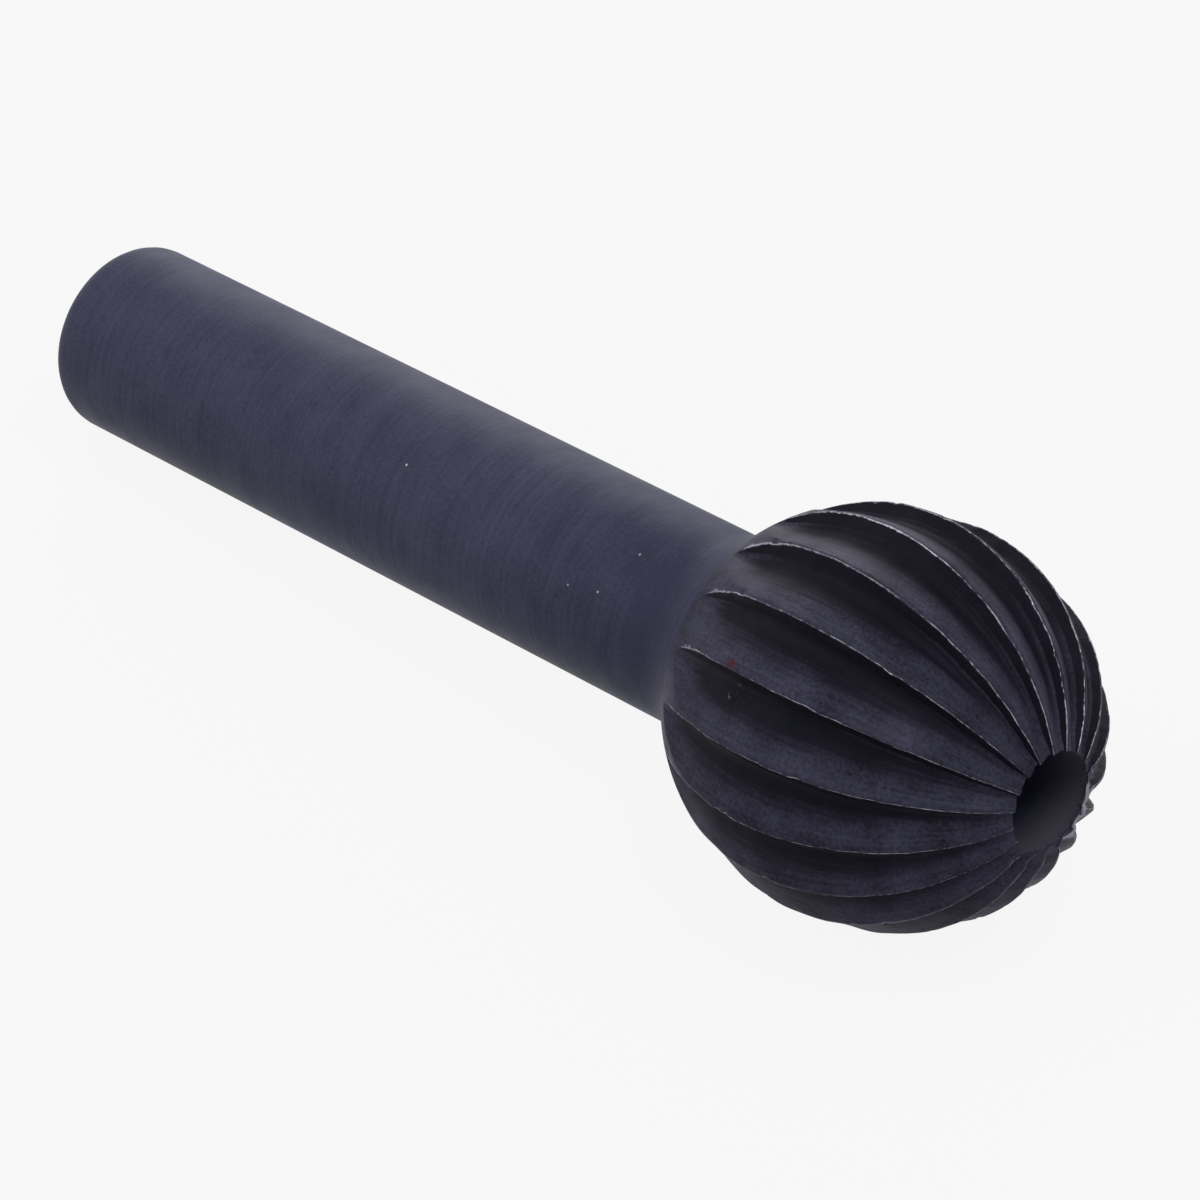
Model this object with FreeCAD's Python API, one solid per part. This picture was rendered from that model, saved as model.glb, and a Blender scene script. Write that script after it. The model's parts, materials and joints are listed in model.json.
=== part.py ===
import FreeCAD, Part
import math
import os

# A ball rotary file, cut from one bar of steel: a plain round shank, a short neck, and
# a ball-shaped head with straight teeth that run from the neck into the hole in its nose.
# Lengths are in millimetres and angles in degrees. The file is drawn standing on its
# shank, with the ball's centre at the origin and the nose up, and is then laid down.

# Driving dimensions of the turned blank
overall_length = 41.8
shank_diameter = 6.35
shank_end_round = 0.8
ball_diameter = 12.7
ball_length = 13.9
neck_radius = 2.5

# The hole in the nose, where the teeth would otherwise crowd together
nose_hole_diameter = 3.175
nose_hole_depth = 3.6
drill_point_angle = 118.0

# The teeth: a narrow worn land, a steep cutting face, a narrow gullet and a long back
tooth_count = 18
groove_depth = 0.55
groove_depth_at_nose = 0.22
face_lean = 33.0
land_width = 0.09
gullet_width = 0.16

# Each groove follows the ball down to this latitude, and then leaves it straight
leaving_latitude = -16.0

# How the cutter of a groove is drawn: its steps along the ball, how far its straight part
# and its end in the nose hole reach, as shares of the least length and of the hole, and
# how far it stands past the surface that it cuts, as shares of the face and the back
cutter_step = 7.0
straight_steps = 3
straight_reserve = 1.25
end_in_hole = 0.7
face_overshoot = 1.0
back_overshoot = 0.35

ball_radius = ball_diameter / 2
ball_half_length = ball_length / 2
shank_radius = shank_diameter / 2
nose_hole_radius = nose_hole_diameter / 2
pitch_angle = 360.0 / tooth_count
middle = FreeCAD.Vector(0, 0, 0)
axis = FreeCAD.Vector(0, 0, 1)


def latitude_at_radius(radius):
    """The latitude, measured from the ball's middle, where the ball has this radius."""
    return math.degrees(math.acos(radius / ball_radius))


def height_at_radius(radius):
    """How far above its centre the ball has this radius."""
    return ball_half_length * math.sin(math.radians(latitude_at_radius(radius)))


nose_height = height_at_radius(nose_hole_radius)
shank_end_height = nose_height - overall_length


def half_outline():
    """Half of the ball's outline, from one end of its axis to the other."""
    top = FreeCAD.Vector(0, 0, ball_half_length)
    side = FreeCAD.Vector(ball_radius, 0, 0)
    if ball_half_length > ball_radius:
        return Part.ArcOfEllipse(Part.Ellipse(top, side, middle), 0, math.pi)
    return Part.ArcOfEllipse(Part.Ellipse(side, top, middle), -math.pi / 2, math.pi / 2)


def ball():
    """The whole ball, a little longer than it is wide."""
    outline = half_outline()
    closing = Part.makeLine(outline.EndPoint, outline.StartPoint)
    face = Part.Face(Part.Wire([outline.toShape(), closing]))
    return face.revolve(middle, axis, 360)


def shank():
    """The plain shank, with its end edge rounded, up to the ball's centre."""
    start = FreeCAD.Vector(0, 0, shank_end_height)
    bar = Part.makeCylinder(shank_radius, -shank_end_height, start, axis)
    end_edges = [edge for edge in bar.Edges if edge.BoundBox.ZMax < shank_end_height + shank_end_round]
    return bar.makeFillet(shank_end_round, end_edges)


def blank():
    """The ball on its shank, with the neck rounded where they meet."""
    body = ball().fuse(shank())
    meeting = -height_at_radius(shank_radius)
    neck = [edge for edge in body.Edges
            if abs(edge.BoundBox.ZMin - meeting) < shank_end_round
            and abs(edge.BoundBox.ZMax - meeting) < shank_end_round]
    return body.makeFillet(neck_radius, neck)


def nose_hole():
    """The drilled hole in the nose, with its cone-shaped bottom."""
    floor = nose_height - nose_hole_depth
    point_depth = nose_hole_radius / math.tan(math.radians(drill_point_angle / 2))
    bore = Part.makeCylinder(nose_hole_radius, ball_length, FreeCAD.Vector(0, 0, floor), axis)
    tip = FreeCAD.Vector(0, 0, floor - point_depth)
    return bore.fuse(Part.makeCone(0, nose_hole_radius, point_depth, tip, axis))


def on_ball(latitude, longitude):
    """A point of the ball's surface, and the direction straight out of it there."""
    up = math.radians(latitude)
    around = math.radians(longitude)
    radial = FreeCAD.Vector(math.cos(around), math.sin(around), 0)
    point = radial * (ball_radius * math.cos(up)) + axis * (ball_half_length * math.sin(up))
    outward = radial * (math.cos(up) / ball_radius) + axis * (math.sin(up) / ball_half_length)
    return point, outward.normalize()


def depth_at(latitude):
    """The groove's depth, which falls in step with the ball's radius towards the nose."""
    radius = ball_radius * math.cos(math.radians(latitude))
    share = (radius - nose_hole_radius) / (ball_radius - nose_hole_radius)
    return groove_depth_at_nose + (groove_depth - groove_depth_at_nose) * share


def groove_section(latitude, shift):
    """The closed outline of a groove's cutter across the groove, moved by a shift.

    It goes down the cutting face of the land at longitude 0, across the flat of the
    gullet and up the back to the next land, and closes above the surface.
    """
    radius = ball_radius * math.cos(math.radians(latitude))
    depth = depth_at(latitude)
    half_land = math.degrees(land_width / 2 / radius)
    foot_angle = half_land + math.degrees(depth * math.tan(math.radians(face_lean)) / radius)
    crest = on_ball(latitude, half_land)[0]
    next_crest = on_ball(latitude, pitch_angle - half_land)[0]
    above_foot, outward = on_ball(latitude, foot_angle)
    foot = above_foot - outward * depth
    across = (next_crest - crest).normalize()
    heel = foot + across * (gullet_width * depth / groove_depth)
    face_top = crest + (crest - foot) * face_overshoot
    back_top = next_crest + (next_crest - heel) * back_overshoot
    section = Part.makePolygon([face_top, foot, heel, back_top, face_top])
    section.translate(shift)
    return section


def groove_cutter():
    """What the cutting wheel takes out of the blank between two neighbouring lands."""
    inside_hole = latitude_at_radius(nose_hole_radius * end_in_hole)
    steps = math.ceil((inside_hole - leaving_latitude) / cutter_step)
    stride = (inside_hole - leaving_latitude) / steps
    outward = on_ball(leaving_latitude, 0)[1]
    backward = FreeCAD.Vector(0, 1, 0).cross(outward)
    straight_length = straight_reserve * math.sqrt(2 * ball_half_length * groove_depth)
    sections = []
    for step in range(straight_steps, 0, -1):
        shift = backward * (straight_length * step / straight_steps)
        sections.append(groove_section(leaving_latitude, shift))
    for step in range(steps + 1):
        sections.append(groove_section(leaving_latitude + stride * step, middle))
    return Part.makeLoft(sections, True, False)


def rotary_file():
    """The finished file, standing on its shank."""
    body = blank().cut(nose_hole())
    cutter = groove_cutter()
    for tooth in range(tooth_count):
        groove = cutter.copy()
        groove.rotate(middle, axis, pitch_angle * tooth)
        body = body.cut(groove)
    return body


def resting_tilt():
    """How far the nose points up when the file lies on two teeth and its shank's end."""
    lands_apart = math.radians(pitch_angle / 2)
    low = 0.0
    high = 45.0
    while high - low > 1e-9:
        tilt = math.radians((low + high) / 2)
        under_ball = math.hypot(ball_radius * math.cos(lands_apart) * math.cos(tilt),
                                ball_half_length * math.sin(tilt))
        under_shank = ((-shank_end_height - shank_end_round) * math.sin(tilt)
                       + (shank_radius - shank_end_round) * math.cos(tilt) + shank_end_round)
        if under_shank < under_ball:
            low = math.degrees(tilt)
        else:
            high = math.degrees(tilt)
    return low


def laid_down(body):
    """Lay the file along X on two teeth and its shank's end, and centre it over the origin."""
    body.rotate(middle, axis, 180 - pitch_angle / 2)
    body.rotate(middle, FreeCAD.Vector(0, 1, 0), 90 - resting_tilt())
    box = body.optimalBoundingBox(False, False)
    body.translate(FreeCAD.Vector(-box.Center.x, -box.Center.y, -box.ZMin))
    return body


os.makedirs("parts", exist_ok=True)
laid_down(rotary_file()).exportStep("parts/rotary_file.step")
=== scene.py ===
import json
import math

import bmesh
import bpy
from mathutils import Euler, Matrix, Vector, noise
from mathutils.geometry import interpolate_bezier


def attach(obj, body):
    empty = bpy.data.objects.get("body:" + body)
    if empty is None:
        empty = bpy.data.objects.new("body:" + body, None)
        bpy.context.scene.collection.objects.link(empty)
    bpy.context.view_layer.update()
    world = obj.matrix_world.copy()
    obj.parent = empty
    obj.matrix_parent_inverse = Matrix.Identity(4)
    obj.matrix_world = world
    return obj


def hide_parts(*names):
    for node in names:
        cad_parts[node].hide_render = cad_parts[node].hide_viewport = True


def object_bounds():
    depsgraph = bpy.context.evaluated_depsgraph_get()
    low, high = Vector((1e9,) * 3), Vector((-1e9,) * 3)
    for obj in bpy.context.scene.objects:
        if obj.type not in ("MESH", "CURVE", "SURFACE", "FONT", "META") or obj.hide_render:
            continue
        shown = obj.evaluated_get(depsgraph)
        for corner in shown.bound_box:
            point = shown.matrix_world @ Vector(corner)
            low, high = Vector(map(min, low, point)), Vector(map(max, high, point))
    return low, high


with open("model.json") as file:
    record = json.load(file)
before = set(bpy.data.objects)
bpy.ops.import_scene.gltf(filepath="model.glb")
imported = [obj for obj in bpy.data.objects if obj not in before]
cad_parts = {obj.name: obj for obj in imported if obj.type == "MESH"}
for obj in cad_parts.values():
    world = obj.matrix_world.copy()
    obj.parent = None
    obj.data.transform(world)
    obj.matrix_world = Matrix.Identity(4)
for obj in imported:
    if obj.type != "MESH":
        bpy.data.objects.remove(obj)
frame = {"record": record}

bl_info = {
    "name": "Ball Rotary File",
    "version": (1, 0, 0),
    "blender": (4, 5, 0),
    "location": "3D View > Sidebar > Rotary File",
    "description": "Builds a black steel ball rotary file with worn straight teeth, and its studio",
    "category": "Object",
}

NODE = "rotary_file"
MM = 0.001

# How finely the mesh is divided
FACE_COLUMNS = 5
GULLET_COLUMNS = 5
BACK_COLUMNS = 11
LAND_COLUMNS = 3
TOOTH_COLUMNS = FACE_COLUMNS + GULLET_COLUMNS + BACK_COLUMNS + LAND_COLUMNS
BACK_CROWDING = 1.5
ROW_STEP = 0.105 * MM
COLLAR_ROWS = 8
EDGE_START_ROWS = 6
RUN_OUT_ROWS = 14
END_FACE_SHARES = (0.0, 0.4, 0.75, 0.95)
END_ROUND_ROWS = 8
SHANK_ROWS = 20
NECK_ROWS = 12
WALL_SHARES = (0.04, 0.1, 0.2, 0.35, 0.5, 0.65, 0.8, 0.9, 0.97, 1.0)
CONE_SHARES = (0.9, 0.7, 0.4, 0.15, 0.0)
GRID_MERGE = 1e-5

# How often bracket() halves its range, and how near to its very end a groove is drawn
HALVINGS = 40
RUN_OUT_SHARE = 0.985

# The smallest angle between two faces that is shaded as a sharp edge
SHARP_EDGE = math.radians(26)

# How far the floor is below the file
FLOOR_GAP = 0.02 * MM

# The numbers that the mesh carries for the shader, among them where the painted shade in the grooves falls
# and where the painted light in the nose hole falls
MESH_NUMBERS = ("wear", "gully", "head", "hole", "burr")

# How much of the cutting edge each column is, where it is on or next to it
EDGE_WEIGHTS = {0: 1.0, 1: 0.12, TOOTH_COLUMNS - 1: 0.12}

# Sizes of the random patches of wear
EDGE_PATCH = 0.5 * MM
WAVE_PATCH = 0.9 * MM
WEAR_PATCH = 1.1 * MM
CHIP_PATCH = 0.4 * MM
BURR_PATCH = 0.35 * MM

# The levels of the noise, which goes from -1 to 1, where wear, chips and burrs set in and are full
WEAR_LEVELS = (-0.3, 0.6)
CHIP_LEVELS = (0.34, 0.55)
BURR_LEVELS = (-0.2, 0.3)

# Bright nicks in the shank: height from the ball's centre, and longitude
NICKS = (
    (-18.5 * MM, math.radians(48)),
    (-10.6 * MM, math.radians(67)),
    (-9.4 * MM, math.radians(63)),
    (-8.7 * MM, math.radians(34)),
)
NICK_SIZE = 0.06 * MM

# Widths of the patterns in the finish, and how slowly the drawn-out ones change along themselves
RING_WIDTH = 0.13 * MM
RING_SLOWNESS = 0.02
STREAK_WIDTH = 0.12 * MM
WIDE_STREAK_WIDTH = 0.5 * MM
STREAK_SLOWNESS = 0.04
PATCH_WIDTH = 1.3 * MM
STRETCH_WIDTH = 1.9 * MM
GRAIN_WIDTH = 0.11 * MM
SPECKLE_WIDTH = 0.16 * MM
PIT_WIDTH = 0.13 * MM
CRUST_PIT_WIDTH = 0.3 * MM

# The crust's proportions along the file, across it and upwards
CRUST_LENGTHS = (2.0, 1.0, 1.0)

# The rust spot: how ragged its edge is, and how far from its middle it starts and is whole
RUST_RAGGEDNESS = 0.3 * MM
RUST_EDGE = (0.42 * MM, 0.2 * MM)

# Painted shade, where the shank gets darker towards the neck beside the ball: heights from the ball's centre
SHANK_SHADE = (-15 * MM, -6 * MM)

# Heights of the fine relief
RING_HEIGHT = 0.009 * MM
STREAK_HEIGHT = 0.012 * MM
GRAIN_HEIGHT = 0.008 * MM
PIT_DEPTH = 0.006 * MM

# The black's index of refraction, low so that it mirrors little and stays dark
OXIDE_IOR = 1.16

# The streaks are divided by the distance from the file's axis, which never counts as less than this
LEAST_RADIUS = 0.1 * MM

# The shares of the nose hole's depth down to which its wall has full painted light, and from which it has
# none
HOLE_LIT_SHARE = 0.2
HOLE_UNLIT_SHARE = 0.6

# The rays that see the floor and the world as white; to all others they are dimmer
VIEW_RAYS = ("Is Camera Ray", "Is Glossy Ray", "Is Transmission Ray")
WHITE = (1.0, 1.0, 1.0)
SKY_TINT = (0.9, 0.92, 1.0)
FLOOR_GREY = (0.5, 0.5, 0.5)
SENSOR_WIDTH = 36.0

# The softboxes: their name, the setting with their power, their width and their place
SOFTBOXES = (
    ("top_box", "top_power", 0.16, (0.12, -0.01, 0.33)),
    ("left_box", "left_power", 0.3, (-0.25, -0.25, 0.25)),
    ("back_box", "back_power", 0.4, (-0.36, 0.42, 0.16)),
)

cad_low, cad_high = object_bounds()


class FileSizes(bpy.types.PropertyGroup):
    """The sizes of the turned blank, as a drawing would give them."""

    overall_length: bpy.props.FloatProperty(
        name="Overall length", description="From the shank's end to the rim of the nose hole",
        default=41.8 * MM, unit="LENGTH")
    shank_diameter: bpy.props.FloatProperty(
        name="Shank diameter", description="Width of the plain shank",
        default=6.35 * MM, unit="LENGTH")
    end_round: bpy.props.FloatProperty(
        name="End round", description="Radius of the edge of the shank's end",
        default=0.8 * MM, unit="LENGTH")
    ball_diameter: bpy.props.FloatProperty(
        name="Ball diameter", description="Width of the ball over its teeth",
        default=12.7 * MM, unit="LENGTH")
    ball_length: bpy.props.FloatProperty(
        name="Ball length", description="Length of the whole ball along its axis",
        default=13.9 * MM, unit="LENGTH")
    neck_radius: bpy.props.FloatProperty(
        name="Neck radius", description="Radius of the inside corner between ball and shank",
        default=2.5 * MM, unit="LENGTH")
    hole_diameter: bpy.props.FloatProperty(
        name="Hole diameter", description="Width of the hole in the nose", default=3.175 * MM, unit="LENGTH")
    hole_depth: bpy.props.FloatProperty(
        name="Hole depth", description="Depth of the straight wall of the nose hole",
        default=3.6 * MM, unit="LENGTH")
    drill_point: bpy.props.FloatProperty(
        name="Drill point", description="Angle of the cone at the bottom of the nose hole",
        default=math.radians(118), subtype="ANGLE")


class ToothSizes(bpy.types.PropertyGroup):
    """The form of the teeth."""

    count: bpy.props.IntProperty(
        name="Teeth", description="Number of teeth round the ball", default=18, min=3)
    depth: bpy.props.FloatProperty(
        name="Groove depth", description="Depth of a groove at the ball's middle",
        default=0.55 * MM, unit="LENGTH")
    nose_depth: bpy.props.FloatProperty(
        name="Depth at the nose", description="Depth of a groove at the nose hole",
        default=0.22 * MM, unit="LENGTH")
    rim_filling: bpy.props.FloatProperty(
        name="Rim filling", description="Share of its depth that a groove loses just before the nose hole",
        default=0.5, min=0.0, max=1.0, subtype="FACTOR")
    rim_reach: bpy.props.FloatProperty(
        name="Rim reach", description="How far before the nose hole a groove gets shallower",
        default=0.7 * MM, unit="LENGTH")
    face_lean: bpy.props.FloatProperty(
        name="Face lean", description="Lean of the cutting face off the surface's normal",
        default=math.radians(33), subtype="ANGLE")
    land_width: bpy.props.FloatProperty(
        name="Land width", description="Width of the top of a tooth", default=0.09 * MM, unit="LENGTH")
    gullet_width: bpy.props.FloatProperty(
        name="Gullet width", description="Width of the bottom of a groove", default=0.16 * MM, unit="LENGTH")
    face_rounding: bpy.props.FloatProperty(
        name="Face rounding", description="Share of the cutting face that the gullet's curve takes",
        default=0.3, min=0.0, max=0.9, subtype="FACTOR")
    back_rounding: bpy.props.FloatProperty(
        name="Back rounding", description="Share of the back that the gullet's curve takes",
        default=0.12, min=0.0, max=0.9, subtype="FACTOR")
    back_crown: bpy.props.FloatProperty(
        name="Back crown", description="How far a tooth's back bulges at the ball's middle",
        default=0.04 * MM, unit="LENGTH")
    leaving_latitude: bpy.props.FloatProperty(
        name="Leaving latitude", description="Where a groove leaves the ball along a straight line",
        default=math.radians(-16), subtype="ANGLE")


class WearSizes(bpy.types.PropertyGroup):
    """How worn, chipped and burred the file is."""

    least_wear: bpy.props.FloatProperty(
        name="Least wear", description="Least depth worn off the top of a tooth",
        default=0.003 * MM, unit="LENGTH")
    most_wear: bpy.props.FloatProperty(
        name="Most wear", description="Greatest depth worn off the top of a tooth",
        default=0.03 * MM, unit="LENGTH")
    chip_depth: bpy.props.FloatProperty(
        name="Chip depth", description="Depth of the small chips along the teeth",
        default=0.055 * MM, unit="LENGTH")
    edge_wander: bpy.props.FloatProperty(
        name="Edge wander", description="How far an edge strays from its line",
        default=0.03 * MM, unit="LENGTH")
    waviness: bpy.props.FloatProperty(
        name="Waviness", description="Unevenness of the cut surfaces", default=0.015 * MM, unit="LENGTH")
    burr_height: bpy.props.FloatProperty(
        name="Burr height", description="Height of the burrs at the nose hole",
        default=0.2 * MM, unit="LENGTH")
    burr_reach: bpy.props.FloatProperty(
        name="Burr reach", description="How far from the hole's rim the burrs reach",
        default=0.5 * MM, unit="LENGTH")
    bared_reach: bpy.props.FloatProperty(
        name="Bared reach", description="How far from the hole's rim the black is worn beside the burrs",
        default=1.4 * MM, unit="LENGTH")
    burr_longitude: bpy.props.FloatProperty(
        name="Burr place", description="Middle of the burred stretch of the rim",
        default=math.radians(-120), subtype="ANGLE")
    burr_spread: bpy.props.FloatProperty(
        name="Burr spread", description="Half the width of the burred stretch of the rim",
        default=math.radians(50), subtype="ANGLE")


class FileLook(bpy.types.PropertyGroup):
    """The colours of the finish."""

    shank_dark: bpy.props.FloatVectorProperty(
        name="Shank, dark", description="Darker tone of the black oxide on the shank",
        default=(0.043, 0.0435, 0.078), size=3, min=0.0, max=1.0, subtype="COLOR")
    shank_light: bpy.props.FloatVectorProperty(
        name="Shank, light", description="Lighter tone of the black oxide on the shank",
        default=(0.083, 0.083, 0.134), size=3, min=0.0, max=1.0, subtype="COLOR")
    # The darker head tone is also the colour of the painted shade in the grooves and on the cutting faces
    head_dark: bpy.props.FloatVectorProperty(
        name="Head, dark", description="Darker tone of the black oxide on the head",
        default=(0.0035, 0.0035, 0.0065), size=3, min=0.0, max=1.0, subtype="COLOR")
    head_light: bpy.props.FloatVectorProperty(
        name="Head, light", description="Lighter tone of the black oxide on the head",
        default=(0.075, 0.071, 0.112), size=3, min=0.0, max=1.0, subtype="COLOR")
    sheen: bpy.props.FloatVectorProperty(
        name="Sheen", description="Tint of what the black oxide reflects",
        default=(0.78, 0.76, 1.0), size=3, min=0.0, max=1.0, subtype="COLOR")
    bare: bpy.props.FloatVectorProperty(
        name="Bare steel", description="Colour where the black has worn off",
        default=(0.28, 0.28, 0.31), size=3, min=0.0, max=1.0, subtype="COLOR")
    # Painted light on the nose hole's wall: a lighter colour near the rim, fading out deeper in
    hole: bpy.props.FloatVectorProperty(
        name="Nose hole", description="Thinner black inside the nose hole",
        default=(0.085, 0.082, 0.106), size=3, min=0.0, max=1.0, subtype="COLOR")
    rust: bpy.props.FloatVectorProperty(
        name="Rust", description="Colour of the small rust spot",
        default=(0.09, 0.012, 0.014), size=3, min=0.0, max=1.0, subtype="COLOR")
    rust_latitude: bpy.props.FloatProperty(
        name="Rust latitude", description="Where the rust spot is along the ball",
        default=math.radians(-10.8), subtype="ANGLE")
    rust_longitude: bpy.props.FloatProperty(
        name="Rust longitude", description="Where the rust spot is round the ball",
        default=math.radians(59), subtype="ANGLE")
    crust_latitude: bpy.props.FloatProperty(
        name="Crust latitude", description="Where the pitted patch is along the ball",
        default=math.radians(-9), subtype="ANGLE")
    crust_longitude: bpy.props.FloatProperty(
        name="Crust longitude", description="Where the pitted patch is round the ball",
        default=math.radians(66), subtype="ANGLE")
    crust_size: bpy.props.FloatProperty(
        name="Crust size", description="Half the width of the pitted patch, which is twice as long",
        default=0.9 * MM, unit="LENGTH")


class StudioSettings(bpy.types.PropertyGroup):
    """Camera and light."""

    camera_location: bpy.props.FloatVectorProperty(
        name="Camera location", description="Where the camera stands",
        default=(112.543 * MM, -102.453 * MM, 124.187 * MM), size=3, subtype="TRANSLATION", unit="LENGTH")
    camera_rotation: bpy.props.FloatVectorProperty(
        name="Camera rotation", description="How the camera is turned",
        default=(math.radians(51.4255), math.radians(2.0142), math.radians(45.5768)), size=3,
        subtype="EULER")
    lens: bpy.props.FloatProperty(
        name="Lens", description="Focal length in millimetres for a 36 mm wide picture", default=186.33)
    sky: bpy.props.FloatProperty(
        name="Sky", description="Brightness of the soft light all round", default=0.35)
    top_power: bpy.props.FloatProperty(
        name="Top light", description="Power of the softbox above", default=0.36, unit="POWER")
    left_power: bpy.props.FloatProperty(
        name="Left light", description="Power of the softbox at the left", default=0.36, unit="POWER")
    back_power: bpy.props.FloatProperty(
        name="Back light", description="Power of the softbox behind", default=0.9, unit="POWER")
    floor_size: bpy.props.FloatProperty(
        name="Floor size", description="Width of the floor", default=3.0, unit="LENGTH")
    floor_white: bpy.props.FloatProperty(
        name="Floor white", description="How white the floor is where it is seen",
        default=0.9, min=0.0, max=1.0, subtype="FACTOR")


class Signal:
    """A number that varies over a surface. Each operator on it adds one node."""

    def __init__(self, shop, socket):
        self.shop = shop
        self.socket = socket

    def _maths(self, operation, first, second):
        return self.shop.node("ShaderNodeMath", {"operation": operation}, {0: first, 1: second})

    def __add__(self, other):
        return self._maths("ADD", self, other)

    def __radd__(self, other):
        return self._maths("ADD", other, self)

    def __sub__(self, other):
        return self._maths("SUBTRACT", self, other)

    def __rsub__(self, other):
        return self._maths("SUBTRACT", other, self)

    def __mul__(self, other):
        return self._maths("MULTIPLY", self, other)

    def __rmul__(self, other):
        return self._maths("MULTIPLY", other, self)

    def __truediv__(self, other):
        return self._maths("DIVIDE", self, other)

    def __rtruediv__(self, other):
        return self._maths("DIVIDE", other, self)

    def __pow__(self, other):
        return self._maths("POWER", self, other)

    def at_least(self, other):
        """The greater of two numbers."""
        return self._maths("MAXIMUM", self, other)

    def at_most(self, other):
        """The smaller of two numbers."""
        return self._maths("MINIMUM", self, other)

    def step(self, low, high):
        """0 at low, 1 at high and smooth between them."""
        return self.shop.node("ShaderNodeMapRange", {"interpolation_type": "SMOOTHSTEP"},
                              {"Value": self, "From Min": low, "From Max": high})


class Shop:
    """Adds nodes to the node tree of a material or of the world."""

    def __init__(self, tree):
        self.tree = tree
        tree.nodes.clear()

    def node(self, kind, settings, inputs, output=None):
        """Add a node and give one of its outputs, the first one if none is named."""
        node = self.tree.nodes.new(kind)
        for name, value in settings.items():
            setattr(node, name, value)
        for name, value in inputs.items():
            socket = self._input(node, name)
            if isinstance(value, Signal):
                self.tree.links.new(value.socket, socket)
            else:
                socket.default_value = value
        outputs = [socket for socket in node.outputs if socket.enabled and output in (None, socket.name)]
        return Signal(self, outputs[0]) if outputs else None

    def _input(self, node, name):
        if isinstance(name, int):
            return node.inputs[name]
        return next(socket for socket in node.inputs if socket.enabled and socket.name == name)

    def mix(self, share, low, high):
        """A colour between two colours."""
        colours = [value if isinstance(value, Signal) else (*value, 1.0) for value in (low, high)]
        return self.node("ShaderNodeMix", {"data_type": "RGBA"},
                         {"Factor": share, "A": colours[0], "B": colours[1]})

    def vector(self, x, y, z):
        """A vector from three numbers."""
        return self.node("ShaderNodeCombineXYZ", {}, {"X": x, "Y": y, "Z": z})

    def noise(self, place, size, detail=2.0):
        """Smooth random patches of a size in metres, between about 0.2 and 0.8, with finer layers."""
        return self.node("ShaderNodeTexNoise", {"noise_dimensions": "3D"},
                         {"Vector": place, "Scale": 1 / size, "Detail": detail}, "Fac")

    def distance(self, place, point):
        """How far a place is from a point."""
        return self.node("ShaderNodeVectorMath", {"operation": "DISTANCE"}, {0: place, 1: point}, "Value")

    def in_view(self):
        """1 for a ray from the camera, a reflection or a clear body, and 0 for any other."""
        camera, glossy, through = [self.node("ShaderNodeLightPath", {}, {}, ray) for ray in VIEW_RAYS]
        return (camera + glossy + through).at_most(1.0)

    def attribute(self, name):
        """A number that the mesh carries."""
        return self.node("ShaderNodeAttribute", {"attribute_name": name}, {}, "Fac")


def shank_mount():
    return next(mount for mount in frame["record"]["mounts"] if mount["name"] == "shank")


def axis_of_file():
    """The direction from the shank's end to the nose."""
    return -Vector(shank_mount()["axis"]).normalized()


def tilt_of_file():
    """How far the nose points up."""
    return math.asin(axis_of_file().z)


def smooth_step(low, high, value):
    """0 at low, 1 at high and smooth between them."""
    share = min(max((value - low) / (high - low), 0.0), 1.0)
    return share * share * (3 - 2 * share)


def bracket(test, low, high):
    """Two values, very close together, between which a test stops being true."""
    for _ in range(HALVINGS):
        middle = (low + high) / 2
        if test(middle):
            low = middle
        else:
            high = middle
    return low, high


class Blank:
    """The turned blank, drawn standing on its shank with the ball's centre at the origin."""

    def __init__(self, sizes):
        self.ball_radius = sizes.ball_diameter / 2
        self.ball_half = sizes.ball_length / 2
        self.shank_radius = sizes.shank_diameter / 2
        self.end_round = sizes.end_round
        self.neck_radius = sizes.neck_radius
        self.hole_radius = sizes.hole_diameter / 2
        self.hole_latitude = math.acos(self.hole_radius / self.ball_radius)
        self.nose = self.ball_half * math.sin(self.hole_latitude)
        self.shank_end = self.nose - sizes.overall_length
        self.hole_floor = self.nose - sizes.hole_depth
        self.hole_tip = self.hole_floor - self.hole_radius / math.tan(sizes.drill_point / 2)
        self.neck_latitude = self._find_neck()
        self.neck_start = self.neck_centre().z
        self.straight_middle = (self.neck_start + self.shank_end + self.end_round) / 2

    def on_ball(self, latitude, longitude):
        """A point of the ball's surface."""
        radius = self.ball_radius * math.cos(latitude)
        height = self.ball_half * math.sin(latitude)
        return Vector((radius * math.cos(longitude), radius * math.sin(longitude), height))

    def outward(self, point):
        """The direction straight out of the ball's surface below or above a point."""
        wide = self.ball_radius ** 2
        return Vector((point.x / wide, point.y / wide, point.z / self.ball_half ** 2)).normalized()

    def level(self, point):
        """1 on the ball's surface and less inside it."""
        wide = self.ball_radius
        return Vector((point.x / wide, point.y / wide, point.z / self.ball_half)).length

    def latitude_of(self, point):
        return math.atan2(point.z / self.ball_half, point.xy.length / self.ball_radius)

    def _neck_centre_at(self, latitude):
        touch = self.on_ball(latitude, 0)
        return touch + self.outward(touch) * self.neck_radius

    def _find_neck(self):
        """The latitude where the neck's arc meets the ball."""
        reach = self.shank_radius + self.neck_radius
        return bracket(lambda latitude: self._neck_centre_at(latitude).x < reach, -math.pi / 2, 0.0)[1]

    def neck_centre(self):
        return self._neck_centre_at(self.neck_latitude)


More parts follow.
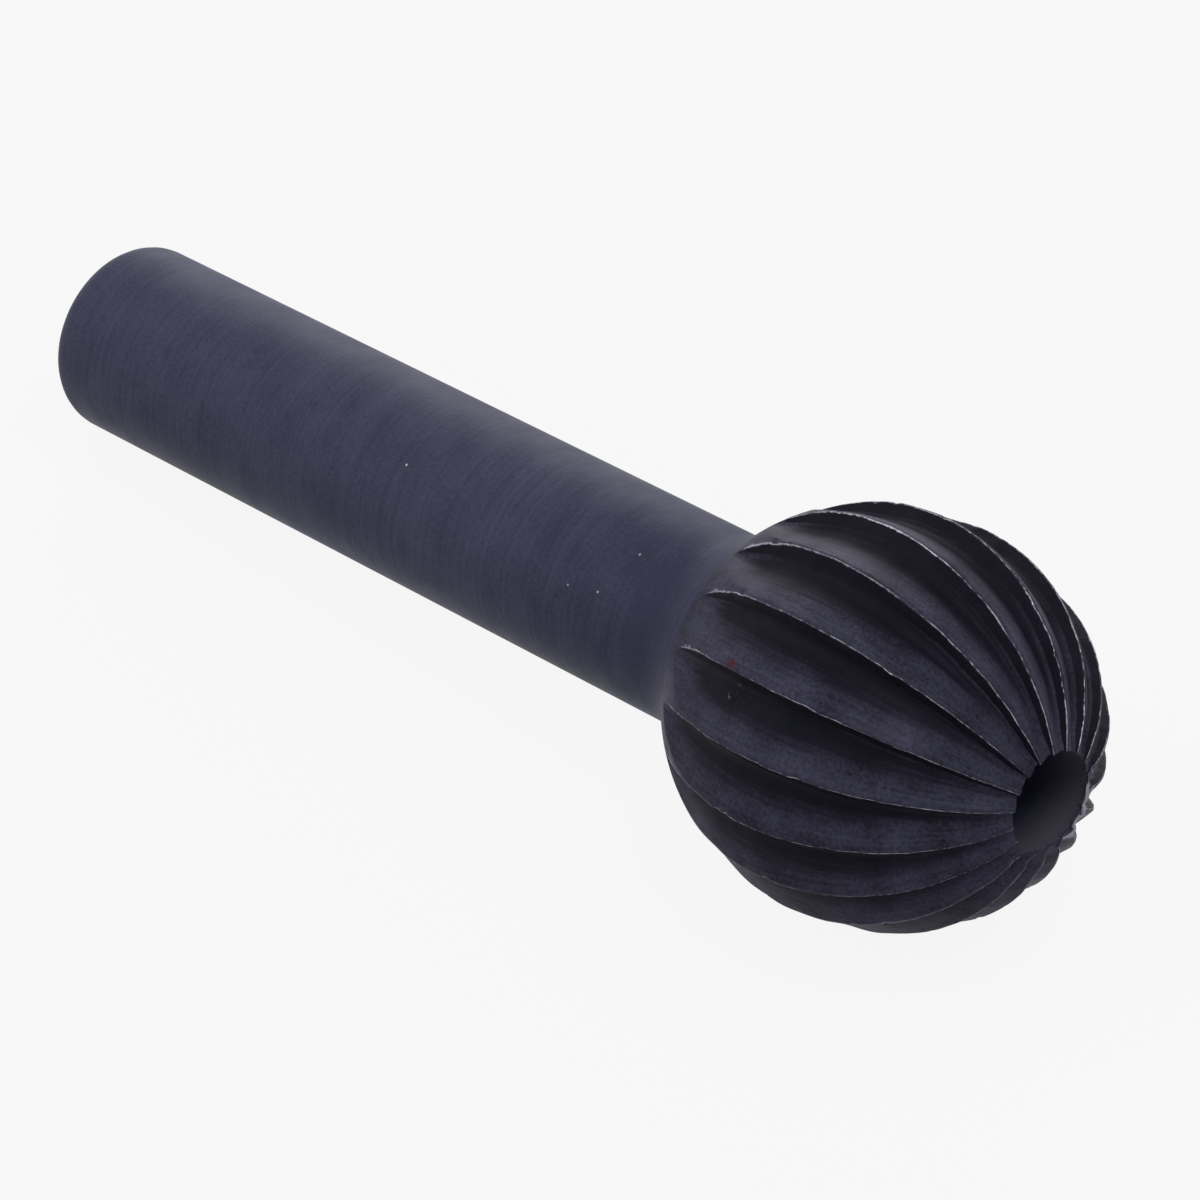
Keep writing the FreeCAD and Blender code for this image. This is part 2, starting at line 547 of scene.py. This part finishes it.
class Teeth:
    """The grooves' form: the corners of a groove across it, at any place along it."""

    def __init__(self, blank, sizes):
        self.blank = blank
        self.sizes = sizes
        self.pitch = 2 * math.pi / sizes.count
        self.rim_start = blank.hole_latitude - sizes.rim_reach / blank.ball_radius
        start = blank.on_ball(sizes.leaving_latitude, 0)
        self.backward = Vector((0, 1, 0)).cross(blank.outward(start))
        self.run_out = RUN_OUT_SHARE * self._find_run_out()

    def depth_at(self, latitude):
        sizes = self.sizes
        radius = self.blank.ball_radius * math.cos(latitude)
        share = (radius - self.blank.hole_radius) / (self.blank.ball_radius - self.blank.hole_radius)
        depth = sizes.nose_depth + (sizes.depth - sizes.nose_depth) * share
        near_rim = smooth_step(self.rim_start, self.blank.hole_latitude, latitude)
        return depth * (1 - sizes.rim_filling * near_rim)

    def corners(self, latitude):
        """Crest, foot, heel and next crest of the groove that starts at longitude 0."""
        blank = self.blank
        sizes = self.sizes
        radius = blank.ball_radius * math.cos(latitude)
        depth = self.depth_at(latitude)
        half_land = sizes.land_width / 2 / radius
        foot_angle = half_land + depth * math.tan(sizes.face_lean) / radius
        crest = blank.on_ball(latitude, half_land)
        next_crest = blank.on_ball(latitude, self.pitch - half_land)
        above_foot = blank.on_ball(latitude, foot_angle)
        foot = above_foot - blank.outward(above_foot) * depth
        across = (next_crest - crest).normalized()
        heel = foot + across * (sizes.gullet_width * depth / sizes.depth)
        return crest, foot, heel, next_crest

    def _find_run_out(self):
        """How far along its straight part a groove's heel comes out of the ball."""
        heel = self.corners(self.sizes.leaving_latitude)[2]
        return bracket(lambda distance: self.blank.level(heel + self.backward * distance) < 1,
                       0.0, self.blank.ball_radius)[0]

    def surfacing(self, inner, outer):
        """Where the line from a point inside the ball to one outside it comes out."""
        share = bracket(lambda share: self.blank.level(inner.lerp(outer, share)) < 1, 0.0, 1.0)[1]
        return inner.lerp(outer, share)

    def straight_corners(self, distance):
        """The groove's corners at a distance along its straight part, cut off at the ball."""
        moved = [corner + self.backward * distance for corner in self.corners(self.sizes.leaving_latitude)]
        crest, foot, heel, next_crest = moved
        return self.surfacing(foot, crest), foot, heel, self.surfacing(heel, next_crest)

    def row(self, corners):
        """A row of points over the face, the gullet, the back and the land."""
        crest, foot, heel, next_crest = corners
        face_end = foot.lerp(crest, self.sizes.face_rounding)
        back_start = heel.lerp(next_crest, self.sizes.back_rounding)
        points = [crest.lerp(face_end, step / FACE_COLUMNS) for step in range(FACE_COLUMNS)]
        points += interpolate_bezier(face_end, foot, heel, back_start, GULLET_COLUMNS + 1)[:-1]
        width = (next_crest - back_start).length / (self.pitch * self.blank.ball_radius)
        for step in range(BACK_COLUMNS):
            share = 1 - (1 - step / BACK_COLUMNS) ** BACK_CROWDING
            point = back_start.lerp(next_crest, share)
            bulge = 1 - (2 * share - 1) ** 2
            points.append(point + self.blank.outward(point) * self.sizes.back_crown * width * bulge)
        start = self._angles(next_crest)
        end = self._angles(crest) + Vector((0, self.pitch))
        for step in range(LAND_COLUMNS):
            points.append(self.blank.on_ball(*start.lerp(end, step / LAND_COLUMNS)))
        return points

    def _angles(self, point):
        return Vector((self.blank.latitude_of(point), math.atan2(point.y, point.x)))

    def collar(self, row, share):
        """A row on the plain ball behind the grooves, with its columns more evenly spread."""
        points = []
        for column, point in enumerate(row):
            even = Vector((self.blank.neck_latitude, self.pitch * column / TOOTH_COLUMNS))
            points.append(self.blank.on_ball(*self._angles(point).lerp(even, share)))
        return points

    def rows(self):
        """Rows of one tooth's points, from the neck to the rim of the nose hole."""
        blank = self.blank
        leaving = self.sizes.leaving_latitude
        straight = round(self.run_out / ROW_STEP)
        rows = [self.row(self.straight_corners(self.run_out * step / straight))
                for step in range(straight, 0, -1)]
        arc = (blank.hole_latitude - leaving) * (blank.ball_radius + blank.ball_half) / 2
        steps = round(arc / ROW_STEP)
        for step in range(steps + 1):
            latitude = leaving + (blank.hole_latitude - leaving) * step / steps
            rows.append(self.row(self.corners(latitude)))
        for point in rows[-1]:
            point.xy = point.xy.normalized() * blank.hole_radius
        collar = [self.collar(rows[0], step / COLLAR_ROWS) for step in range(COLLAR_ROWS, 0, -1)]
        return collar + rows


class Weather:
    """Moves a point of the new file to where it is on the used one."""

    def __init__(self, blank, sizes):
        self.blank = blank
        self.sizes = sizes

    def worn(self, point, amount):
        """The point with its edge strayed, its surface dented and its top worn and chipped."""
        sizes = self.sizes
        around = Vector((-point.y, point.x, 0)).normalized()
        point = point + around * noise.noise(point / EDGE_PATCH) * sizes.edge_wander * amount
        dent = (1 + noise.noise(point / WAVE_PATCH)) / 2 * sizes.waviness * amount
        point = point - self.blank.outward(point) * dent
        wear = smooth_step(*WEAR_LEVELS, noise.noise(point / WEAR_PATCH))
        chip = smooth_step(*CHIP_LEVELS, noise.noise(point / CHIP_PATCH))
        lost = sizes.least_wear + (sizes.most_wear * wear + sizes.chip_depth * chip) * amount
        level = self.blank.level(point)
        return point * min(1.0, (1 - lost / self.blank.ball_radius) / level)

    def burr_at(self, point, reach):
        """How much of a burr there is, from 0 to 1, if the burrs reach this far from the hole."""
        blank = self.blank
        distance = (blank.hole_latitude - blank.latitude_of(point)) * blank.ball_radius
        turn = math.atan2(point.y, point.x) - self.sizes.burr_longitude
        turn = (turn + math.pi) % (2 * math.pi) - math.pi
        near = smooth_step(reach, 0, distance)
        sector = smooth_step(self.sizes.burr_spread, self.sizes.burr_spread / 2, abs(turn))
        return near * sector * smooth_step(*BURR_LEVELS, noise.noise(point / BURR_PATCH))

    def burred(self, point, amount):
        """The point raised towards the nose, and over the hole, by a burr."""
        rise = self.sizes.burr_height * amount
        inward = -point.xy.normalized() * rise / 2
        top = max(point.z, self.blank.nose)
        return Vector((point.x + inward.x, point.y + inward.y, min(point.z + rise, top)))


def turned_rows(blank):
    """Radius and height of the rows behind the ball, from the shank's end to the neck."""
    flat = blank.shank_radius - blank.end_round
    rows = [(flat * share, blank.shank_end) for share in END_FACE_SHARES]
    for step in range(END_ROUND_ROWS):
        angle = math.pi / 2 * step / (END_ROUND_ROWS - 1)
        rows.append((flat + blank.end_round * math.sin(angle),
                     blank.shank_end + blank.end_round * (1 - math.cos(angle))))
    start = blank.shank_end + blank.end_round
    for step in range(1, SHANK_ROWS + 1):
        rows.append((blank.shank_radius, start + (blank.neck_start - start) * step / SHANK_ROWS))
    centre = blank.neck_centre()
    touch = blank.on_ball(blank.neck_latitude, 0) - centre
    sweep = math.atan2(touch.z, -touch.x)
    for step in range(1, NECK_ROWS):
        angle = sweep * step / NECK_ROWS
        rows.append((centre.x - blank.neck_radius * math.cos(angle),
                     centre.z + blank.neck_radius * math.sin(angle)))
    return rows


def lathe_grid(row_count, column_count):
    """A closed skin of rows and columns, spun round and with both ends drawn to a point."""
    bm = bmesh.new()
    row_of = bm.verts.layers.int.new("row")
    outline = []
    for row in range(row_count):
        vert = bm.verts.new((0 if row in (0, row_count - 1) else 1, 0, row))
        vert[row_of] = row
        outline.append(vert)
    for low, high in zip(outline, outline[1:]):
        bm.edges.new((low, high))
    bmesh.ops.spin(bm, geom=bm.verts[:] + bm.edges[:], cent=(0, 0, 0), axis=(0, 0, 1),
                   angle=2 * math.pi, steps=column_count, use_merge=True)
    bmesh.ops.remove_doubles(bm, verts=bm.verts[:], dist=GRID_MERGE)
    return bm


def file_mesh(scene):
    """The whole file as one closed mesh, standing, with the ball's centre at the origin."""
    blank = Blank(scene.file_sizes)
    teeth = Teeth(blank, scene.tooth_sizes)
    weather = Weather(blank, scene.wear_sizes)
    turned = turned_rows(blank)
    head = teeth.rows()
    cone = [(blank.hole_radius * share, blank.hole_floor + (blank.hole_tip - blank.hole_floor) * (1 - share))
            for share in CONE_SHARES]
    head_start = len(turned)
    wall_start = head_start + len(head)
    cone_start = wall_start + len(WALL_SHARES)
    columns = TOOTH_COLUMNS * scene.tooth_sizes.count

    bm = lathe_grid(cone_start + len(cone), columns)
    row_of = bm.verts.layers.int["row"]
    wear_of, groove_shade_of, head_of, hole_light_of, burr_of = [bm.verts.layers.float.new(name) for name in MESH_NUMBERS]
    rim = head[-1]
    for vert in bm.verts:
        row = vert[row_of]
        column = round(math.atan2(vert.co.y, vert.co.x) / (2 * math.pi) * columns) % columns
        tooth, place = divmod(column, TOOTH_COLUMNS)
        turn = Matrix.Rotation(teeth.pitch * tooth, 3, "Z")
        if row < head_start:
            radius, height = turned[row]
            angle = 2 * math.pi * column / columns
            vert.co = (radius * math.cos(angle), radius * math.sin(angle), height)
            continue
        if row < wall_start:
            step = row - head_start
            point = turn @ head[step][place]
            edged = smooth_step(COLLAR_ROWS - 1, COLLAR_ROWS + EDGE_START_ROWS, step)
            toothed = smooth_step(COLLAR_ROWS, COLLAR_ROWS + RUN_OUT_ROWS, step)
            burr = weather.burr_at(point, weather.sizes.burr_reach)
            vert[head_of] = smooth_step(0, COLLAR_ROWS, step)
            # Painted shade: how deep the point lies in its groove, with the whole cutting face counted as
            # deep, darkens the head's colour
            sunk = min(1.0, (1 - blank.level(point)) * blank.ball_radius / teeth.sizes.depth)
            vert[groove_shade_of] = max(sunk, edged if 0 < place < FACE_COLUMNS else 0.0)
            vert[wear_of] = edged * EDGE_WEIGHTS.get(place, 0.0)
            vert[burr_of] = weather.burr_at(point, weather.sizes.bared_reach)
            vert.co = weather.burred(weather.worn(point, toothed), burr)
            continue
        edge = rim[place]
        flat = edge.xy.normalized()
        if row < cone_start:
            share = WALL_SHARES[row - wall_start]
            # Painted light, full near the rim and gone deeper down the wall
            vert[hole_light_of] = smooth_step(HOLE_UNLIT_SHARE, HOLE_LIT_SHARE, share)
            radius = blank.hole_radius
            height = edge.z + (blank.hole_floor - edge.z) * share
        else:
            radius, height = cone[row - cone_start]
        vert.co = turn @ Vector((flat.x * radius, flat.y * radius, height))
    bmesh.ops.recalc_face_normals(bm, faces=bm.faces[:])
    return bm


def ball_centre(blank):
    """Where the ball's centre is once the file lies in its place."""
    return Vector(shank_mount()["pos_m"]) - axis_of_file() * blank.straight_middle


def lay_down(bm, scene):
    """Turn the standing mesh and move it to where the file lies."""
    pitch = 2 * math.pi / scene.tooth_sizes.count
    turn = (Matrix.Rotation(math.pi / 2 - tilt_of_file(), 3, "Y")
            @ Matrix.Rotation(math.pi - pitch / 2, 3, "Z"))
    bmesh.ops.rotate(bm, verts=bm.verts[:], cent=(0, 0, 0), matrix=turn)
    bmesh.ops.translate(bm, verts=bm.verts[:], vec=ball_centre(Blank(scene.file_sizes)))


def finished_object(bm, name, material):
    """An object at the origin, smooth apart from its sharp edges, with its own mesh."""
    for edge in bm.edges:
        edge.smooth = edge.calc_face_angle(0) < SHARP_EDGE
    for face in bm.faces:
        face.smooth = True
    mesh = bpy.data.meshes.new(name)
    bm.to_mesh(mesh)
    bm.free()
    mesh.materials.append(material)
    piece = bpy.data.objects.new(name, mesh)
    bpy.context.scene.collection.objects.link(piece)
    return piece


def new_material(name):
    """An empty material, and the shop that fills it."""
    material = bpy.data.materials.new(name)
    material.use_nodes = True
    return material, Shop(material.node_tree)


def shader_place(scene, point):
    """A point of the standing file in the shader's coordinates: along the axis, across and up."""
    pitch = 2 * math.pi / scene.tooth_sizes.count
    flat = Matrix.Rotation(math.pi - pitch / 2, 2) @ point.xy
    return Vector((point.z, flat.y, -flat.x))


def black_steel(scene):
    """Blackened steel: turning marks on the shank, milling streaks and wear on the teeth, painted shade in
    the grooves, on the cutting faces and on the shank towards the neck, and painted light inside the rim of
    the nose hole.

    Each step() names the levels of a pattern where a mark starts and where it is full, and
    the factor beside it says how strong the mark is.
    """
    look = scene.file_look
    blank = Blank(scene.file_sizes)
    material, shop = new_material("black_steel")
    object_place = shop.node("ShaderNodeTexCoord", {}, {}, "Object")
    place = shop.node("ShaderNodeMapping", {"vector_type": "TEXTURE"}, {
        "Vector": object_place, "Location": ball_centre(blank), "Rotation": (0, -tilt_of_file(), 0)})
    along, across, up = [shop.node("ShaderNodeSeparateXYZ", {}, {"Vector": place}, name) for name in "XYZ"]
    radius = ((across * across + up * up) ** 0.5).at_least(LEAST_RADIUS)
    wear, gully, head, hole, burr = [shop.attribute(name) for name in MESH_NUMBERS]

    # Rings round the shank, streaks along the teeth, and patches and grain that have no direction
    ring_place = shop.vector(along + radius, across * RING_SLOWNESS, up * RING_SLOWNESS)
    rings = shop.noise(ring_place, RING_WIDTH, 3.0)
    evened = blank.ball_radius / radius
    streak_place = shop.vector(along * STREAK_SLOWNESS, across * evened, up * evened)
    streaks = shop.noise(streak_place, STREAK_WIDTH, 4.0)
    wide_streaks = shop.noise(streak_place, WIDE_STREAK_WIDTH)
    patches = shop.noise(place, PATCH_WIDTH, 4.0)
    stretches = shop.noise(place, STRETCH_WIDTH)
    grain = shop.noise(place, GRAIN_WIDTH, 3.0)
    speckle = shop.noise(place, SPECKLE_WIDTH, 3.0)

    # Pits: faint ones in patches, and deep ones in the crust
    crust_place = shop.node("ShaderNodeMapping", {"vector_type": "TEXTURE"}, {
        "Vector": place, "Scale": CRUST_LENGTHS,
        "Location": shader_place(scene, blank.on_ball(look.crust_latitude, look.crust_longitude))})
    crust = (shop.distance(crust_place, (0, 0, 0)) + patches * look.crust_size).step(
        1.3 * look.crust_size, 0.7 * look.crust_size)
    pits = shop.noise(place, PIT_WIDTH).step(0.54, 0.64) * patches.step(0.5, 0.62)
    pits = (pits * 0.35).at_least(crust * shop.noise(place, CRUST_PIT_WIDTH, 3.0).step(0.4, 0.56))

    # Bare steel: broken lines along the edges, nicks in the shank, burrs, and flecks in the crust
    bare = (wear + speckle * 1.4 + stretches * 1.1).step(1.87, 2.25)
    for height, longitude in NICKS:
        point = Matrix.Rotation(longitude, 3, "Z") @ Vector((blank.shank_radius, 0, height))
        distance = shop.distance(place, shader_place(scene, point))
        bare = bare.at_least((distance + speckle * NICK_SIZE).step(1.3 * NICK_SIZE, 0.8 * NICK_SIZE))
    bare = bare.at_least((burr * (speckle + 0.6)).step(0.1, 0.8) * 0.8)
    bare = bare.at_least(crust * speckle.step(0.62, 0.7) * 0.45)

    # Each tone is a blend of patterns, whose weights add up to 1, spread from dark to light; painted shade
    # then darkens the shank towards the neck, and the head in its grooves and on its cutting faces
    shank_tone = ((patches * 0.3 + rings * 0.3 + grain * 0.4).step(0.25, 0.75)
                  - along.step(*SHANK_SHADE) * 0.45)
    # Painted shade in the grooves and on the cutting faces, with a streaky edge
    shade = (gully + (streaks - 0.5) * 0.7 + (wide_streaks - 0.5) * 0.6).step(0.3, 0.78)
    head_tone = ((patches * 0.35 + wide_streaks * 0.15 + streaks * 0.2 + grain * 0.3).step(0.27, 0.7)
                 * (1 - shade * 0.9))
    shank_colour = shop.mix(shank_tone, look.shank_dark, look.shank_light)
    head_colour = shop.mix(head_tone, look.head_dark, look.head_light)
    colour = shop.mix(head, shank_colour, head_colour)
    colour = shop.mix(pits * head, colour, look.head_dark)
    spot = shader_place(scene, blank.on_ball(look.rust_latitude, look.rust_longitude))
    rust = (shop.distance(place, spot) + speckle * RUST_RAGGEDNESS).step(*RUST_EDGE)
    colour = shop.mix(rust * 0.8, colour, look.rust)
    # Painted light on the nose hole's wall near its rim
    colour = shop.mix(hole, colour, look.hole)
    colour = shop.mix(bare, colour, look.bare)

    roughness = 0.5 - patches * 0.14 + grain * 0.1 - bare * 0.12
    height = (rings * (1 - head) * RING_HEIGHT + streaks * head * STREAK_HEIGHT
              + grain * GRAIN_HEIGHT - pits * head * PIT_DEPTH)
    normal = shop.node("ShaderNodeBump", {}, {"Height": height, "Strength": 1.0, "Distance": 1.0})
    surface = shop.node("ShaderNodeBsdfPrincipled", {}, {
        "Base Color": colour, "Metallic": bare, "Roughness": roughness, "Normal": normal,
        "IOR": OXIDE_IOR, "Specular Tint": (*look.sheen, 1.0)})
    shop.node("ShaderNodeOutputMaterial", {}, {"Surface": surface})
    return material


def floor_material(white):
    """A pale floor that reads as white and keeps the shadow."""
    material, shop = new_material("pale_floor")
    seen = shop.in_view()
    matt = shop.node("ShaderNodeBsdfDiffuse", {}, {"Color": (*FLOOR_GREY, 1.0)})
    glow = shop.node("ShaderNodeEmission", {}, {"Color": (*WHITE, 1.0), "Strength": 1.0})
    surface = shop.node("ShaderNodeMixShader", {}, {0: seen * white, 1: matt, 2: glow})
    shop.node("ShaderNodeOutputMaterial", {}, {"Surface": surface})
    return material


def white_world(sky):
    """A world that is white where it is seen and dimmer as a light."""
    world = bpy.data.worlds.new("white_world")
    world.use_nodes = True
    shop = Shop(world.node_tree)
    seen = shop.in_view()
    colour = shop.mix(seen, SKY_TINT, WHITE)
    light = shop.node("ShaderNodeBackground", {}, {"Color": colour, "Strength": sky + seen * (1 - sky)})
    shop.node("ShaderNodeOutputWorld", {}, {"Surface": light})
    return world


def softbox(name, power, size, location):
    """A square lamp that looks at the file."""
    lamp = bpy.data.lights.new(name, "AREA")
    lamp.energy = power
    lamp.shape = "SQUARE"
    lamp.size = size
    holder = bpy.data.objects.new(name, lamp)
    holder.location = location
    holder.rotation_euler = (-Vector(location)).to_track_quat("-Z", "Y").to_euler()
    bpy.context.scene.collection.objects.link(holder)


def photo_camera(studio):
    """A camera where the photo was taken from."""
    camera = bpy.data.cameras.new("photo_camera")
    camera.sensor_width = SENSOR_WIDTH
    camera.lens = studio.lens
    holder = bpy.data.objects.new("photo_camera", camera)
    holder.location = studio.camera_location
    holder.rotation_euler = Euler(studio.camera_rotation, "XYZ")
    bpy.context.scene.collection.objects.link(holder)
    return holder


class ROTARYFILE_OT_body(bpy.types.Operator):
    """Build the turned and toothed steel body"""

    bl_idname = "rotary_file.body"
    bl_label = "Build the file"

    def execute(self, context):
        bm = file_mesh(context.scene)
        lay_down(bm, context.scene)
        piece = finished_object(bm, "file_body", black_steel(context.scene))
        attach(piece, "root")
        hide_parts(NODE)
        return {"FINISHED"}


class ROTARYFILE_OT_stage(bpy.types.Operator):
    """Build the floor, the light and the camera"""

    bl_idname = "rotary_file.stage"
    bl_label = "Build the studio"

    def execute(self, context):
        scene = context.scene
        studio = scene.studio_settings
        bm = bmesh.new()
        bmesh.ops.create_grid(bm, x_segments=1, y_segments=1, size=studio.floor_size / 2)
        bmesh.ops.translate(bm, verts=bm.verts[:], vec=(0, 0, cad_low[2] - FLOOR_GAP))
        finished_object(bm, "floor", floor_material(studio.floor_white))
        scene.world = white_world(studio.sky)
        for name, setting, size, location in SOFTBOXES:
            softbox(name, getattr(studio, setting), size, location)
        scene.camera = photo_camera(studio)
        scene.view_settings.view_transform = "Standard"
        return {"FINISHED"}


class ROTARYFILE_PT_panel(bpy.types.Panel):
    """The rotary file's sizes and the buttons that build it"""

    bl_label = "Rotary File"
    bl_space_type = "VIEW_3D"
    bl_region_type = "UI"
    bl_category = "Rotary File"

    def draw(self, context):
        for name, group in GROUPS.items():
            box = self.layout.box()
            for prop in group.__annotations__:
                box.prop(getattr(context.scene, name), prop)
        for operator in OPERATORS:
            self.layout.operator(operator.bl_idname)


GROUPS = {
    "file_sizes": FileSizes,
    "tooth_sizes": ToothSizes,
    "wear_sizes": WearSizes,
    "file_look": FileLook,
    "studio_settings": StudioSettings,
}
OPERATORS = (ROTARYFILE_OT_body, ROTARYFILE_OT_stage)


def register():
    for name, group in GROUPS.items():
        bpy.utils.register_class(group)
        setattr(bpy.types.Scene, name, bpy.props.PointerProperty(type=group))
    for operator in OPERATORS:
        bpy.utils.register_class(operator)
    bpy.utils.register_class(ROTARYFILE_PT_panel)


def unregister():
    bpy.utils.unregister_class(ROTARYFILE_PT_panel)
    for operator in reversed(OPERATORS):
        bpy.utils.unregister_class(operator)
    for name, group in reversed(GROUPS.items()):
        delattr(bpy.types.Scene, name)
        bpy.utils.unregister_class(group)


def main():
    register()
    bpy.ops.rotary_file.body()
    bpy.ops.rotary_file.stage()


if __name__ == "__main__":
    main()
